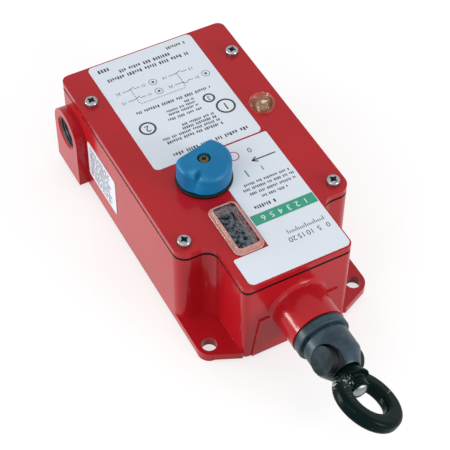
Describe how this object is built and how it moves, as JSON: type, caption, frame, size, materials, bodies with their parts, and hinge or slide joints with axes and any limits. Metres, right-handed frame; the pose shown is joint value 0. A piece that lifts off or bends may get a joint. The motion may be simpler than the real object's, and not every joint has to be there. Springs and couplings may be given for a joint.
{
  "type": "rope pull switch",
  "caption": "Safety rope pull switch: cast housing with gasketed cover, sprung pull rod ending in an eye nut, tension window, pilot light and a turn-to-reset knob.",
  "frame": {"origin": "midway between the two front mounting holes, on the mounting plane under the feet", "axes": "+Z out of the mounting plane through the cover, -Y along the pull rod towards the rope eye, +Y towards the rear wall, +X to the right of someone who looks along +Y"},
  "size_m": [0.106, 0.2784, 0.0741],
  "materials": {
    "red_enamel": "gloss enamel on cast alloy",
    "black_rubber": "matt",
    "bright_steel": "zinc plated",
    "plain_zinc": "dull zinc",
    "brass": "turned",
    "label_film": "printed film",
    "clear_lens": "clear moulding",
    "blue_plastic": "satin",
    "boot_rubber": "satin",
    "black_enamel": "gloss black",
    "block_plastic": "moulded",
    "cam_plastic": "moulded",
    "earth_green": "green passivated"
  },
  "bodies": {
    "body": {"housing": "red_enamel", "cover_gasket": "black_rubber", "cover": "red_enamel", "cover_screws": "bright_steel", "upper_label": "label_film", "lower_label": "label_film", "side_label": "label_film", "window_lens": "clear_lens", "pilot_lens": "clear_lens", "pilot_lamp": "bright_steel", "lamp_nut": "block_plastic", "knob_seal": "black_rubber", "knob_bushing": "brass", "boot": "boot_rubber", "rod_bushing": "brass", "base_plate": "plain_zinc", "plate_screws": "bright_steel", "left_contact_block": "block_plastic", "right_contact_block": "block_plastic", "block_screws": "bright_steel", "terminal_screws": "brass", "rear_rod_guide": "plain_zinc", "guide_screws": "bright_steel", "ground_screw": "earth_green", "main_spring": "bright_steel"},
    "pull": {"pull_rod": "bright_steel", "eye_nut": "black_enamel", "lock_nut": "black_enamel", "spring_seat": "plain_zinc", "retaining_ring": "bright_steel", "tension_pointer": "block_plastic", "cam_sleeve": "cam_plastic", "cam_nut": "bright_steel"},
    "knob": {"reset_knob": "blue_plastic", "knob_screw": "brass", "knob_shaft": "bright_steel", "reset_cam": "plain_zinc"},
    "left_contact": {"left_plunger": "cam_plastic"},
    "right_contact": {"right_plunger": "cam_plastic"}
  },
  "joints": [
    {"name": "pull_slide", "type": "slide", "parent": "body", "child": "pull", "axis": [0, -1, 0], "range_m": [0, 0.012], "stiffness_N_per_m": 8000, "springref_m": -0.003, "deforming": ["main_spring"]},
    {"name": "knob_turn", "type": "hinge", "parent": "body", "child": "knob", "pos_m": [-0.0142, 0.061, 0.06], "axis": [0, 0, 1], "range_deg": [-37, 0]},
    {"name": "left_contact_slide", "type": "slide", "parent": "body", "child": "left_contact", "axis": [-1, 0, 0], "range_m": [0, 0.0025]},
    {"name": "right_contact_slide", "type": "slide", "parent": "body", "child": "right_contact", "axis": [1, 0, 0], "range_m": [0, 0.0025]}
  ],
  "couplings": [
    {"joint": "left_contact_slide", "follows": "pull_slide", "ratio": 0.2},
    {"joint": "right_contact_slide", "follows": "pull_slide", "ratio": 0.2}
  ]
}
